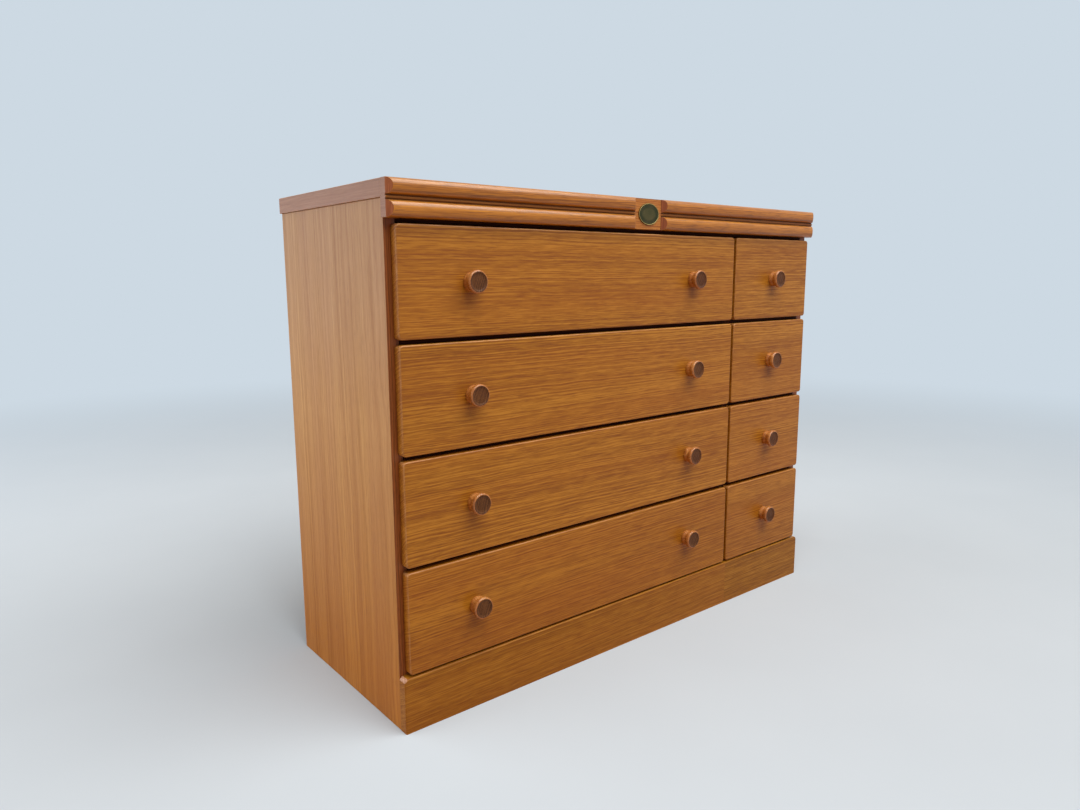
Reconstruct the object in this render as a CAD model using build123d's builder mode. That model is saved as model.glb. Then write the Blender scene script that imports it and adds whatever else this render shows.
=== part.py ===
from build123d import *

import os

# Low chest of eight drawers: four rows, each with one wide and one narrow drawer.
# Millimetres, +Z up, the front faces -Y. The origin is on the floor, in the middle of the footprint.

# ---------------------------------------------------------------- driving dimensions: case
overall_width = 1000.0  # across the outer faces of the side panels
overall_height = 798.0  # floor to the top surface
case_depth = 352.0  # front edge to rear edge of a side panel
panel_thickness = 18.0  # side panels, partition and bottom panel
top_thickness = 25.0
top_side_overhang = 2.5
top_rear_overhang = 3.0
top_edge_radius = 1.0
housing_depth = 6.0  # how far the bottom panel is let into each side panel
back_thickness = 4.0
back_lap = 9.0  # width of the rebate in a side panel that takes the back panel

# ---------------------------------------------------------------- front moulding and its emblem plate
moulding_height = 52.0
moulding_base_depth = 14.0  # from the case to the floor of the groove between the beads
bead_projection = 8.0  # how far a bead's crest stands out past that floor
upper_bead_height = 22.0
groove_height = 7.0
quirk_width = 1.8  # the narrow sunk line on each side of the fillet in the groove
quirk_depth = 1.2
fillet_rise = 0.6
block_width = 64.0  # plain block between the two lengths of moulding
medallion_width = 49.0
medallion_height = 36.0
medallion_thickness = 1.4
medallion_rim_width = 1.6
medallion_rim_rise = 0.6

# ---------------------------------------------------------------- plinth
plinth_height = 86.0
plinth_thickness = 16.0
plinth_corner_radius = 4.0
plinth_edge_radius = 2.5

# ---------------------------------------------------------------- drawer layout on the front
rows = 4
narrow_front_width = 242.0
side_reveal = 10.5  # strip of side panel edge left showing beside a drawer front
column_gap = 7.0
row_gap = 7.0
moulding_gap = 7.0
plinth_gap = 3.0
front_thickness = 14.0
front_standoff = 1.0  # air between a closed drawer front and the case
front_corner_radius = 6.0
front_edge_radius = 2.5

# ---------------------------------------------------------------- drawer boxes
box_board = 12.0  # side and back boards of a drawer
box_side_clearance = 2.0
box_rear_clearance = 10.0
box_lift = 10.0  # lower edge of a drawer side above the lower edge of its front
box_drop = 14.0  # upper edge of a drawer side below the upper edge of its front
front_housing = 4.0  # how far the drawer sides are let into the front
drawer_bottom_thickness = 4.0
bottom_groove_lift = 8.0  # groove for the drawer bottom above the lower edge of the side
bottom_groove_depth = 5.0
bottom_groove_slack = 0.2

# ---------------------------------------------------------------- runners and rails
runner_height = 14.0
runner_projection = 7.5
runner_setback = 20.0  # runner's front end behind the case's front edge
runner_rear_gap = 8.0
runner_top_clearance = 0.3
runner_under_clearance = 0.9
runner_side_clearance = 0.7
runner_stop_clearance = 1.0
rail_height = 20.0
rail_depth = 40.0
top_rail_overlap = 5.0  # how far the top rail reaches below the moulding

# ---------------------------------------------------------------- knobs and their screws
knob_diameter = 34.0
knob_length = 20.0
knob_foot_diameter = 28.5
knob_foot_length = 4.5
knob_waist_diameter = 26.4
knob_waist_at = 9.0  # distance of the waist from the drawer front
knob_rim_at = 13.5
knob_rim_rounding = 3.0
knob_face_dish = 1.2  # depth of the sunk face
knob_dish_slope = 3.0  # width of the slope down to it
knob_inset = 120.0  # knob centre from the end of a wide drawer front
screw_diameter = 3.9
screw_clearance = 0.05  # radial, in the knob's pilot hole
screw_bite = 12.0  # length of screw inside the knob
screw_head_diameter = 8.0
screw_head_height = 2.5
screw_hole_diameter = 4.6  # through the drawer front
tip_clearance = 1.0

# ---------------------------------------------------------------- derived places
drawer_front_depth = front_standoff + front_thickness
overall_depth = knob_length + drawer_front_depth + case_depth + top_rear_overhang
case_front = -overall_depth / 2 + knob_length + drawer_front_depth
case_rear = case_front + case_depth
back_face = case_rear - back_thickness  # inner face of the back panel
half_width = overall_width / 2
inner_half_width = half_width - panel_thickness
top_underside = overall_height - top_thickness
moulding_bottom = overall_height - moulding_height
bottom_panel_z = (plinth_height - panel_thickness, plinth_height)

partition_x = half_width - side_reveal - narrow_front_width - column_gap / 2
wide_bay = (-inner_half_width, partition_x - panel_thickness / 2)
narrow_bay = (partition_x + panel_thickness / 2, inner_half_width)
wide_front = (-half_width + side_reveal, partition_x - column_gap / 2)
narrow_front = (partition_x + column_gap / 2, half_width - side_reveal)
knob_places = {
    "wide": (wide_front[0] + knob_inset, wide_front[1] - knob_inset),
    "narrow": ((narrow_front[0] + narrow_front[1]) / 2,),
}

fronts_top = moulding_bottom - moulding_gap
fronts_bottom = plinth_height + plinth_gap
front_height = (fronts_top - fronts_bottom - (rows - 1) * row_gap) / rows
row_bottoms = [fronts_top - front_height - row * (front_height + row_gap) for row in range(rows)]

front_back_y = case_front - front_standoff
front_face_y = front_back_y - front_thickness
box_rear = back_face - box_rear_clearance
groove_engagement = runner_projection - box_side_clearance
runner_groove_depth = groove_engagement + runner_side_clearance
runner_y = (case_front + runner_setback, back_face - runner_rear_gap)


def box_heights(row):
    """Lower and upper edge of the drawer sides in a row."""
    return row_bottoms[row] + box_lift, row_bottoms[row] + front_height - box_drop


def runner_heights(row):
    """Lower and upper face of the runners in a row, at mid-height of the drawer sides."""
    low, high = box_heights(row)
    middle = (low + high) / 2
    return middle - runner_height / 2, middle + runner_height / 2


def bottom_heights(row):
    """Lower and upper face of the drawer bottom in a row."""
    low = box_heights(row)[0] + bottom_groove_lift
    return low, low + drawer_bottom_thickness


def block(x, y, z, mode=Mode.ADD):
    """Add or cut a square-edged board in the part being built; x, y and z are (low, high) pairs."""
    with Locations((x[0], y[0], z[0])):
        Box(x[1] - x[0], y[1] - y[0], z[1] - z[0], align=(Align.MIN, Align.MIN, Align.MIN), mode=mode)


def write(part, name):
    """Label a finished piece and write it under its own name."""
    part.label = name
    export_step(part, f"parts/{name}.step")


os.makedirs("parts", exist_ok=True)

# ================================================================ case

# The side panels stand on the floor and carry the top. Each is housed for the bottom panel and
# rebated along its rear edge for the back panel.
for name, outer, inward in (("side_panel_left", -half_width, 1), ("side_panel_right", half_width, -1)):
    inner = outer + inward * panel_thickness
    housing_end = inner - inward * housing_depth
    rebate_end = inner - inward * back_lap
    with BuildPart() as side_panel:
        block(sorted((outer, inner)), (case_front, case_rear), (0, top_underside))
        block(sorted((inner, housing_end)), (case_front, back_face), bottom_panel_z, Mode.SUBTRACT)
        block(
            sorted((inner, rebate_end)),
            (back_face, case_rear),
            (bottom_panel_z[0], top_underside),
            Mode.SUBTRACT,
        )
    write(side_panel.part, name)

with BuildPart() as bottom_panel:
    housed_half_width = inner_half_width + housing_depth
    block((-housed_half_width, housed_half_width), (case_front, back_face), bottom_panel_z)
write(bottom_panel.part, "bottom_panel")

with BuildPart() as centre_partition:
    block((wide_bay[1], narrow_bay[0]), (case_front, back_face), (plinth_height, top_underside))
write(centre_partition.part, "centre_partition")

with BuildPart() as back_panel:
    back_half_width = inner_half_width + back_lap
    block(
        (-back_half_width, back_half_width),
        (back_face, case_rear),
        (bottom_panel_z[0], top_underside),
    )
write(back_panel.part, "back_panel")

with BuildPart() as top_panel:
    top_half_width = half_width + top_side_overhang
    block(
        (-top_half_width, top_half_width),
        (case_front, case_rear + top_rear_overhang),
        (top_underside, overall_height),
    )
    top_edges = top_panel.edges().group_by(Axis.Z)[-1]
    fillet(top_edges.filter_by(Axis.Y) + top_edges.filter_by(Axis.X).sort_by(Axis.Y)[-1:], top_edge_radius)
write(top_panel.part, "top_panel")

# One rail under the top and one between each pair of rows, in both bays.
with BuildPart() as front_rails:
    rail_y = (case_front, case_front + rail_depth)
    for bay in (wide_bay, narrow_bay):
        block(bay, rail_y, (moulding_bottom - top_rail_overlap, top_underside))
        for row_bottom in row_bottoms[:-1]:
            rail_middle = row_bottom - row_gap / 2
            block(bay, rail_y, (rail_middle - rail_height / 2, rail_middle + rail_height / 2))
write(front_rails.part, "front_rails")

# A strip on each side of each drawer, on which the drawer side hangs by its groove.
with BuildPart() as drawer_runners:
    for row in range(rows):
        for bay in (wide_bay, narrow_bay):
            block((bay[0], bay[0] + runner_projection), runner_y, runner_heights(row))
            block((bay[1] - runner_projection, bay[1]), runner_y, runner_heights(row))
write(drawer_runners.part, "drawer_runners")

with BuildPart() as plinth_board:
    with BuildSketch(Plane.XZ.offset(-case_front)):
        with Locations((0, plinth_height / 2)):
            Rectangle(overall_width, plinth_height)
    extrude(amount=plinth_thickness)
    fillet(plinth_board.edges().filter_by(Axis.Y).group_by(Axis.Z)[-1], plinth_corner_radius)
    plinth_face = plinth_board.faces().sort_by(Axis.Y)[0]
    fillet(plinth_face.edges().sort_by(Axis.Z)[1:], plinth_edge_radius)
write(plinth_board.part, "plinth_board")

# ================================================================ front moulding

moulding_base_y = case_front - moulding_base_depth
lower_bead_height = moulding_height - upper_bead_height - groove_height
groove_top = overall_height - upper_bead_height
groove_bottom = groove_top - groove_height
quirk_y = moulding_base_y + quirk_depth
fillet_y = moulding_base_y - fillet_rise

# Two lengths of double-bead moulding. The beads are cut back at 45 degrees at both ends of a length.
with BuildPart() as top_mouldings:
    for stick in ((-top_half_width, -block_width / 2), (block_width / 2, top_half_width)):
        with BuildSketch(Plane.YZ.offset(stick[0])):
            with BuildLine():
                Line((case_front, overall_height), (moulding_base_y, overall_height))
                EllipticalCenterArc(
                    (moulding_base_y, overall_height - upper_bead_height / 2),
                    bead_projection,
                    upper_bead_height / 2,
                    start_angle=90,
                    arc_size=180,
                )
                Polyline(
                    (moulding_base_y, groove_top),
                    (quirk_y, groove_top),
                    (quirk_y, groove_top - quirk_width),
                    (fillet_y, groove_top - quirk_width),
                    (fillet_y, groove_bottom + quirk_width),
                    (quirk_y, groove_bottom + quirk_width),
                    (quirk_y, groove_bottom),
                    (moulding_base_y, groove_bottom),
                )
                EllipticalCenterArc(
                    (moulding_base_y, moulding_bottom + lower_bead_height / 2),
                    bead_projection,
                    lower_bead_height / 2,
                    start_angle=90,
                    arc_size=180,
                )
                Polyline(
                    (moulding_base_y, moulding_bottom),
                    (case_front, moulding_bottom),
                    (case_front, overall_height),
                )
            make_face()
        extrude(amount=stick[1] - stick[0])
        for end, inward in ((stick[0], 1), (stick[1], -1)):
            with BuildSketch(Plane.XY.offset(moulding_bottom)):
                with BuildLine():
                    Polyline(
                        (end, moulding_base_y),
                        (end + inward * 2 * bead_projection, moulding_base_y - 2 * bead_projection),
                        (end, moulding_base_y - 2 * bead_projection),
                        close=True,
                    )
                make_face()
            extrude(amount=moulding_height, mode=Mode.SUBTRACT)
write(top_mouldings.part, "top_mouldings")

with BuildPart() as moulding_block:
    block(
        (-block_width / 2, block_width / 2),
        (moulding_base_y, case_front),
        (moulding_bottom, overall_height),
    )
write(moulding_block.part, "moulding_block")

# Oval plate with a raised rim, bare in the middle.
with BuildPart() as medallion:
    medallion_middle = (0, overall_height - moulding_height / 2)
    with BuildSketch(Plane.XZ.offset(-moulding_base_y)):
        with Locations(medallion_middle):
            Ellipse(medallion_width / 2, medallion_height / 2)
    extrude(amount=medallion_thickness)
    with BuildSketch(Plane.XZ.offset(medallion_thickness - moulding_base_y)):
        with Locations(medallion_middle):
            Ellipse(medallion_width / 2, medallion_height / 2)
            Ellipse(
                medallion_width / 2 - medallion_rim_width,
                medallion_height / 2 - medallion_rim_width,
                mode=Mode.SUBTRACT,
            )
    extrude(amount=medallion_rim_rise)
write(medallion.part, "medallion")

# ================================================================ drawers


def drawer_front(name, front, box, row, knobs):
    """The show front, housed at the back for the drawer sides and grooved for the drawer bottom."""
    middle = ((front[0] + front[1]) / 2, row_bottoms[row] + front_height / 2)
    bottom = bottom_heights(row)
    with BuildPart() as board:
        with BuildSketch(Plane.XZ.offset(-front_back_y)):
            with Locations(middle):
                RectangleRounded(front[1] - front[0], front_height, front_corner_radius)
        extrude(amount=front_thickness)
        fillet(board.faces().sort_by(Axis.Y)[0].edges(), front_edge_radius)
        housing_y = (front_back_y - front_housing, front_back_y)
        for side in ((box[0], box[0] + box_board), (box[1] - box_board, box[1])):
            block(side, housing_y, box_heights(row), Mode.SUBTRACT)
        block(
            (box[0] + box_board, box[1] - box_board),
            (front_back_y - bottom_groove_depth, front_back_y),
            (bottom[0], bottom[1] + bottom_groove_slack),
            Mode.SUBTRACT,
        )
        with BuildSketch(Plane.XZ.offset(-front_back_y)):
            with Locations(*[(x, middle[1]) for x in knobs]):
                Circle(screw_hole_diameter / 2)
        extrude(amount=front_thickness, mode=Mode.SUBTRACT)
    write(board.part, f"{name}_front")


def drawer_sides(name, box, row):
    """Both side boards, grooved outside for the runner and inside for the drawer bottom."""
    runner = runner_heights(row)
    runner_groove = (runner[0] - runner_under_clearance, runner[1] + runner_top_clearance)
    groove_front = runner_y[0] - runner_stop_clearance
    bottom = bottom_heights(row)
    with BuildPart() as boards:
        for outer, inward in ((box[0], 1), (box[1], -1)):
            inner = outer + inward * box_board
            block(sorted((outer, inner)), (front_back_y - front_housing, box_rear), box_heights(row))
            block(
                sorted((outer, outer + inward * runner_groove_depth)),
                (groove_front, box_rear),
                runner_groove,
                Mode.SUBTRACT,
            )
            block(
                sorted((inner, inner - inward * bottom_groove_depth)),
                (front_back_y - front_housing, box_rear),
                (bottom[0], bottom[1] + bottom_groove_slack),
                Mode.SUBTRACT,
            )
    write(boards.part, f"{name}_sides")


def drawer_back(name, box, row):
    """The back board stands on the drawer bottom, between the sides."""
    with BuildPart() as board:
        block(
            (box[0] + box_board, box[1] - box_board),
            (box_rear - box_board, box_rear),
            (bottom_heights(row)[1], box_heights(row)[1]),
        )
    write(board.part, f"{name}_back")


def drawer_bottom(name, box, row):
    """The thin bottom lies in the grooves of the sides and tongues into the front."""
    lap = bottom_groove_depth
    with BuildPart() as board:
        block(
            (box[0] + box_board - lap, box[1] - box_board + lap),
            (front_back_y - front_housing, box_rear),
            bottom_heights(row),
        )
        block(
            (box[0] + box_board, box[1] - box_board),
            (front_back_y - lap, front_back_y - front_housing),
            bottom_heights(row),
        )
    write(board.part, f"{name}_bottom")


def drawer_knobs(name, row, knobs):
    """Turned knobs: a round foot, a waist, and a wider head with a dished face."""
    height = row_bottoms[row] + front_height / 2
    pilot_radius = screw_diameter / 2 + screw_clearance
    pilot_depth = screw_bite + tip_clearance
    foot_radius = knob_foot_diameter / 2
    waist_radius = knob_waist_diameter / 2
    rim_radius = knob_diameter / 2
    dish_y = knob_face_dish - knob_length
    with BuildPart() as turned:
        for x in knobs:
            seat = Plane(origin=(x, front_face_y, height), x_dir=(1, 0, 0), z_dir=(0, 0, 1))
            with BuildSketch(seat):
                with BuildLine():
                    Polyline((pilot_radius, 0), (foot_radius, 0), (foot_radius, -knob_foot_length))
                    ThreePointArc(
                        (foot_radius, -knob_foot_length),
                        (waist_radius, -knob_waist_at),
                        (rim_radius, -knob_rim_at),
                    )
                    Line((rim_radius, -knob_rim_at), (rim_radius, knob_rim_rounding - knob_length))
                    RadiusArc(
                        (rim_radius, knob_rim_rounding - knob_length),
                        (rim_radius - knob_rim_rounding, -knob_length),
                        knob_rim_rounding,
                    )
                    Polyline(
                        (rim_radius - knob_rim_rounding, -knob_length),
                        (rim_radius - knob_rim_rounding - knob_dish_slope, dish_y),
                        (0, dish_y),
                        (0, -pilot_depth),
                        (pilot_radius, -pilot_depth),
                        (pilot_radius, 0),
                    )
                make_face()
            revolve(axis=Axis(seat.origin, (0, 1, 0)))
    write(turned.part, f"{name}_knobs")


def knob_screws(name, row, knobs):
    """Pan-head screws from inside the drawer, through the front and into the knobs."""
    height = row_bottoms[row] + front_height / 2
    with BuildPart() as screws:
        with BuildSketch(Plane.XZ.offset(-front_back_y)):
            with Locations(*[(x, height) for x in knobs]):
                Circle(screw_diameter / 2)
        extrude(amount=front_thickness + screw_bite)
        with BuildSketch(Plane.XZ.offset(-front_back_y)):
            with Locations(*[(x, height) for x in knobs]):
                Circle(screw_head_diameter / 2)
        extrude(amount=-screw_head_height)
        head_faces = screws.faces().group_by(Axis.Y)[-1]
        fillet(head_faces.edges(), screw_head_height / 2)
    write(screws.part, f"{name}_screws")


for row in range(rows):
    for column, front, bay in (("wide", wide_front, wide_bay), ("narrow", narrow_front, narrow_bay)):
        name = f"{column}_drawer_{row + 1}"
        box = (bay[0] + box_side_clearance, bay[1] - box_side_clearance)
        knobs = knob_places[column]
        drawer_front(name, front, box, row, knobs)
        drawer_sides(name, box, row)
        drawer_back(name, box, row)
        drawer_bottom(name, box, row)
        drawer_knobs(name, row, knobs)
        knob_screws(name, row, knobs)
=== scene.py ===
"""Low wooden chest of eight drawers: its shown pieces, their finishes and the studio."""

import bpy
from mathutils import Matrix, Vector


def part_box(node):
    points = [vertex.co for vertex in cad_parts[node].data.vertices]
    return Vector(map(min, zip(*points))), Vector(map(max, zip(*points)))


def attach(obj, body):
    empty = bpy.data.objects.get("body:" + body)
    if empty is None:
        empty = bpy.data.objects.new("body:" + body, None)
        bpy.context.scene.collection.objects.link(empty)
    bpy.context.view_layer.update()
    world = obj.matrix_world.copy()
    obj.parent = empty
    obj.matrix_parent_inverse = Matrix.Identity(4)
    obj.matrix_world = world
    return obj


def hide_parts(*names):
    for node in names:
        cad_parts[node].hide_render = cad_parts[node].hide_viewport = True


bl_info = {
    "name": "Low chest of eight drawers",
    "version": (1, 0, 0),
    "blender": (4, 5, 0),
    "location": "View3D > Sidebar > Chest",
    "description": "Rounds over the boards, turns the knobs and gives every piece its finish",
    "category": "Object",
}

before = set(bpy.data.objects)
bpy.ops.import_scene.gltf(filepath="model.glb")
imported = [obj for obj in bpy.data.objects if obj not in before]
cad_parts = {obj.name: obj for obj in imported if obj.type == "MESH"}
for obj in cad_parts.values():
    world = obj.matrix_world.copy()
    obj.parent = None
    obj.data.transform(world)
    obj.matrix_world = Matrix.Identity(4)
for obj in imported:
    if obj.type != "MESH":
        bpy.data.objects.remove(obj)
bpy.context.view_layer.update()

import math

import bmesh
import bpy
from mathutils import Matrix, Vector

MM = 0.001
NEAR = 0.01 * MM  # what lies closer than this is taken as the same place
DRAWERS = [f"{column}_drawer_{row}" for column in ("wide", "narrow") for row in (1, 2, 3, 4)]

# ---------------------------------------------------------------- small helpers


def hex_colour(code):
    """Linear RGBA of an sRGB hex value."""
    parts = [int(code[i : i + 2], 16) / 255 for i in (1, 3, 5)]
    linear = [c / 12.92 if c <= 0.04045 else ((c + 0.055) / 1.055) ** 2.4 for c in parts]
    return tuple(linear) + (1.0,)


def put(tree, kind, inputs=None, **settings):
    """Adds a node. An input takes a value, a socket, or a node for its first live output."""
    made = tree.nodes.new(kind)
    for key, value in settings.items():
        setattr(made, key, value)
    for key, value in (inputs or {}).items():
        if isinstance(value, bpy.types.Node):
            value = next(o for o in value.outputs if o.enabled)
        if isinstance(value, bpy.types.NodeSocket):
            tree.links.new(value, made.inputs[key])
        else:
            made.inputs[key].default_value = value
    return made


def colour_stops(ramp, stops):
    """Sets a colour ramp's stops from (place, sRGB hex) pairs, lowest place first."""
    elements = ramp.color_ramp.elements
    elements[0].position, elements[-1].position = stops[0][0], stops[-1][0]
    for place, _ in stops[1:-1]:
        elements.new(place)
    for element, (_, code) in zip(elements, stops):
        element.color = hex_colour(code)


def piece_from(bm, name, materials, body, replaced=()):
    """Turns a finished bmesh into a piece that rides on its body."""
    bmesh.ops.recalc_face_normals(bm, faces=bm.faces)
    mesh = bpy.data.meshes.new(name)
    bm.to_mesh(mesh)
    bm.free()
    piece = bpy.data.objects.new(name, mesh)
    bpy.context.collection.objects.link(piece)
    for material in materials:
        mesh.materials.append(material)
    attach(piece, body)
    if replaced:
        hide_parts(*replaced)
    return piece


def shade(piece, limit=50):
    """Smooth shading that stays flat on the broad faces and breaks at real corners."""
    mesh = piece.data
    mesh.polygons.foreach_set("use_smooth", [True] * len(mesh.polygons))
    mesh.set_sharp_from_angle(angle=math.radians(limit))
    weighted = piece.modifiers.new("even_shading", "WEIGHTED_NORMAL")
    weighted.keep_sharp = True
    weighted.weight = 100


def round_edges(bm, edges, width, steps):
    """Takes sharp edges off with a round of the given width."""
    bmesh.ops.bevel(
        bm,
        geom=edges,
        offset=width,
        offset_type="OFFSET",
        segments=steps,
        profile=0.5,
        affect="EDGES",
        clamp_overlap=True,
        material=-1,
    )


def spin_outline(bm, outline, centre, steps):
    """Turns an outline, (radius, place along Y) pairs, once round the Y axis through centre."""
    corners = [bm.verts.new((centre.x + off, place, centre.z)) for off, place in outline]
    edges = [bm.edges.new(pair) for pair in zip(corners, corners[1:])]
    bmesh.ops.spin(
        bm,
        geom=corners + edges,
        cent=centre,
        axis=(0, 1, 0),
        angle=2 * math.pi,
        steps=steps,
        use_merge=True,
    )


def softened(node, name, material, body, width, steps=2, bands=()):
    """A CAD board's own shape with its hard arrises taken off, as sandpaper leaves them.

    bands lists (test, material) pairs. Faces whose normal and middle pass a test get its material,
    such as a lipping, stain or end grain.
    """
    bm = bmesh.new()
    bm.from_mesh(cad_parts[node].data)
    bmesh.ops.remove_doubles(bm, verts=bm.verts, dist=0.002 * MM)
    bmesh.ops.dissolve_limit(bm, angle_limit=math.radians(0.5), verts=bm.verts, edges=bm.edges)
    hard_angle = math.radians(40)
    hard = [e for e in bm.edges if len(e.link_faces) == 2 and e.calc_face_angle() > hard_angle]
    round_edges(bm, hard, width, steps)
    bm.normal_update()
    for face in bm.faces:
        face.material_index = 0
        for number, (test, _) in enumerate(bands, 1):
            if test(face.normal, face.calc_center_median()):
                face.material_index = number
    piece = piece_from(bm, name, [material] + [m for _, m in bands], body, [node])
    shade(piece)
    return piece


def finish_node(node, material):
    """Gives a CAD node that is shown as it is its finish."""
    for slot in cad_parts[node].material_slots:
        slot.material = material


# ---------------------------------------------------------------- finishes

# Mapping rotation that lays a board's grain along the pattern's X axis.
GRAIN_TURN = {"X": (0, 0, 0), "Y": (0, 0, -math.pi / 2), "Z": (0, math.pi / 2, 0)}

# Wood patterns are cut into cells, (corner, size) pairs in metres, so that each drawer's boards and
# the plinth come from boards of their own. Cells meet in the middle of the gap between two fronts.
HALF_GAP = 3.5 * MM
FRONT_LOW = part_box("wide_drawer_4_front")[0].z
FRONT_PITCH = (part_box("wide_drawer_1_front")[0].z - FRONT_LOW) / 3
COLUMN_GAP_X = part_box("narrow_drawer_1_front")[0].x - HALF_GAP
PARTITION_X = sum(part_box("centre_partition"), Vector()).x / 2


def row_cells(left, width):
    """Cells one row of drawers high and this wide, right through, with an edge at left."""
    return ((left, -50, FRONT_LOW - HALF_GAP), (width, 100, FRONT_PITCH))


FRONT_CELLS = row_cells(COLUMN_GAP_X - 2, 2)
BOX_CELLS = row_cells(PARTITION_X - 2, 2)
KNOB_CELLS = row_cells(-0.5, 0.33)


def wood(
    name,
    grain,
    tones,
    warm,
    *,
    pith=(0, 450, 250),
    tilt=(0, 0, 0),
    ring=2.2,
    ring_share=0.8,
    streak=(60, 1.9),
    streak_share=0.8,
    band=(1400, 26),
    band_share=0.3,
    pore=(16, 1.4),
    pore_share=0.3,
    gleam_share=0.25,
    warm_share=0.25,
    cells=((-50, -50, -50), (100, 100, 100)),
    scatter=(3000, 60, 300),
    tone_scatter=0.06,
    worn=None,
    worn_share=0.5,
    tint=None,
    roughness=(0.38, 0.48),
    relief=0.06,
    specular=0.35,
):
    """Sawn or sliced wood under its finish.

    The pattern is a log lying along the grain: growth rings round a pith, fine streaks and slow
    bands, stretched pores and the gleam between them. Its sizes are in millimetres, along by across
    the grain; tones run from dark to light; tilt is in degrees. cells cuts the space into boards,
    and scatter says how far apart in the log they are cut. tint lists (height in metres, colour)
    pairs, multiplied in: painted light and shade that change with height.
    """
    material = bpy.data.materials.new(name)
    material.use_nodes = True
    tree = material.node_tree
    tree.nodes.clear()
    math_node, vector_node = "ShaderNodeMath", "ShaderNodeVectorMath"
    noise_node, range_node = "ShaderNodeTexNoise", "ShaderNodeMapRange"
    half = (0.5, 0.5, 0.5)
    texture = put(tree, "ShaderNodeTexCoord")
    here, facing = texture.outputs["Object"], texture.outputs["Normal"]

    # the board this point belongs to, and the point's place in it
    cell = put(tree, vector_node, {0: here, 1: cells[0]}, operation="SUBTRACT")
    cell = put(tree, vector_node, {0: cell, 1: cells[1]}, operation="DIVIDE")
    cell = put(tree, vector_node, {0: cell}, operation="FLOOR")
    luck = put(tree, "ShaderNodeTexWhiteNoise", {"Vector": cell}, noise_dimensions="3D")
    step = put(tree, vector_node, {0: cell, 1: cells[1]}, operation="MULTIPLY")
    local = put(tree, vector_node, {0: here, 1: step}, operation="SUBTRACT")
    turn = [a + math.radians(b) for a, b in zip(GRAIN_TURN[grain], tilt)]
    log = put(
        tree,
        "ShaderNodeMapping",
        {"Vector": local, "Location": pith, "Rotation": turn, "Scale": (1000, 1000, 1000)},
    )
    spread = put(tree, vector_node, {0: luck.outputs["Color"], 1: half}, operation="SUBTRACT")
    log = put(tree, vector_node, {0: spread, 1: scatter, 2: log}, operation="MULTIPLY_ADD")

    # slow and quick wander of the fibres
    for along, across, reach in ((520, 110, 9), (75, 22, 3.2)):
        squeeze = (1 / along, 1 / across, 1 / across)
        squeezed = put(tree, vector_node, {0: log, 1: squeeze}, operation="MULTIPLY")
        wander = put(tree, noise_node, {"Vector": squeezed, "Scale": 1.0, "Detail": 1.0})
        wander = put(tree, vector_node, {0: wander.outputs["Color"], 1: half}, operation="SUBTRACT")
        shift = {0: wander, 1: (0, reach, reach), 2: log}
        log = put(tree, vector_node, shift, operation="MULTIPLY_ADD")

    # growth rings: an uneven one-dimensional pattern over the distance from the pith
    radius = put(tree, vector_node, {0: log, 1: (0, 1, 1)}, operation="MULTIPLY")
    radius = put(tree, vector_node, {0: radius}, operation="LENGTH")
    radius = put(tree, math_node, {0: radius, 1: ring}, operation="DIVIDE")
    rings = put(
        tree,
        noise_node,
        {"W": radius, "Scale": 1.0, "Detail": 2.0, "Roughness": 0.6},
        noise_dimensions="1D",
    )

    def stretched(size, detail):
        """Noise drawn out along the fibres; size is along by across."""
        squeeze = (1 / size[0], 1 / size[1], 1 / size[1])
        squeezed = put(tree, vector_node, {0: log, 1: squeeze}, operation="MULTIPLY")
        return put(tree, noise_node, {"Vector": squeezed, "Scale": 1.0, "Detail": detail})

    tone = 0.5
    for pattern, share in (
        (rings, ring_share),
        (stretched(streak, 3.0), streak_share),
        (stretched(band, 1.0), band_share),
        (luck, tone_scatter),
    ):
        off = put(tree, math_node, {0: pattern.outputs[0], 1: 0.5}, operation="SUBTRACT")
        tone = put(tree, math_node, {0: off, 1: 2 * share, 2: tone}, operation="MULTIPLY_ADD")
    ramp = put(tree, "ShaderNodeValToRGB", {"Fac": tone})
    colour_stops(ramp, list(zip((0.15, 0.5, 0.85), tones)))
    colour = ramp.outputs["Color"]

    # long reddish areas
    slow = stretched((1300, 70), 2.0)
    slow = put(tree, range_node, {0: slow, 1: 0.42, 2: 0.68, 4: warm_share})

    # open pores, short and dark, and the gleam of the fibres between them; both are drawn a little
    # wider than real so that they show
    pores = stretched(pore, 1.0)
    gleam = put(tree, range_node, {0: pores, 1: 0.44, 2: 0.28, 4: gleam_share})
    pores = put(tree, range_node, {0: pores, 1: 0.56, 2: 0.72, 4: pore_share})

    # what lies over the pattern, in order: its share, its colour and how it is laid on
    layers = [
        (slow, hex_colour(warm), "MIX"),
        (gleam, hex_colour(tones[2]), "MIX"),
        (pores, hex_colour(tones[0]), "MIX"),
        (pores, hex_colour("#A0958A"), "MULTIPLY"),
    ]

    # painted light and shade: a colour multiplied in by height
    if tint:
        height = put(tree, "ShaderNodeSeparateXYZ", {0: here}).outputs["Z"]
        low, high = tint[0][0], tint[-1][0]
        height = put(tree, range_node, {0: height, 1: low, 2: high})
        ramp = put(tree, "ShaderNodeValToRGB", {"Fac": height})
        colour_stops(ramp, [((place - low) / (high - low), code) for place, code in tint])
        layers.append((1.0, ramp.outputs["Color"], "MULTIPLY"))

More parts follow.
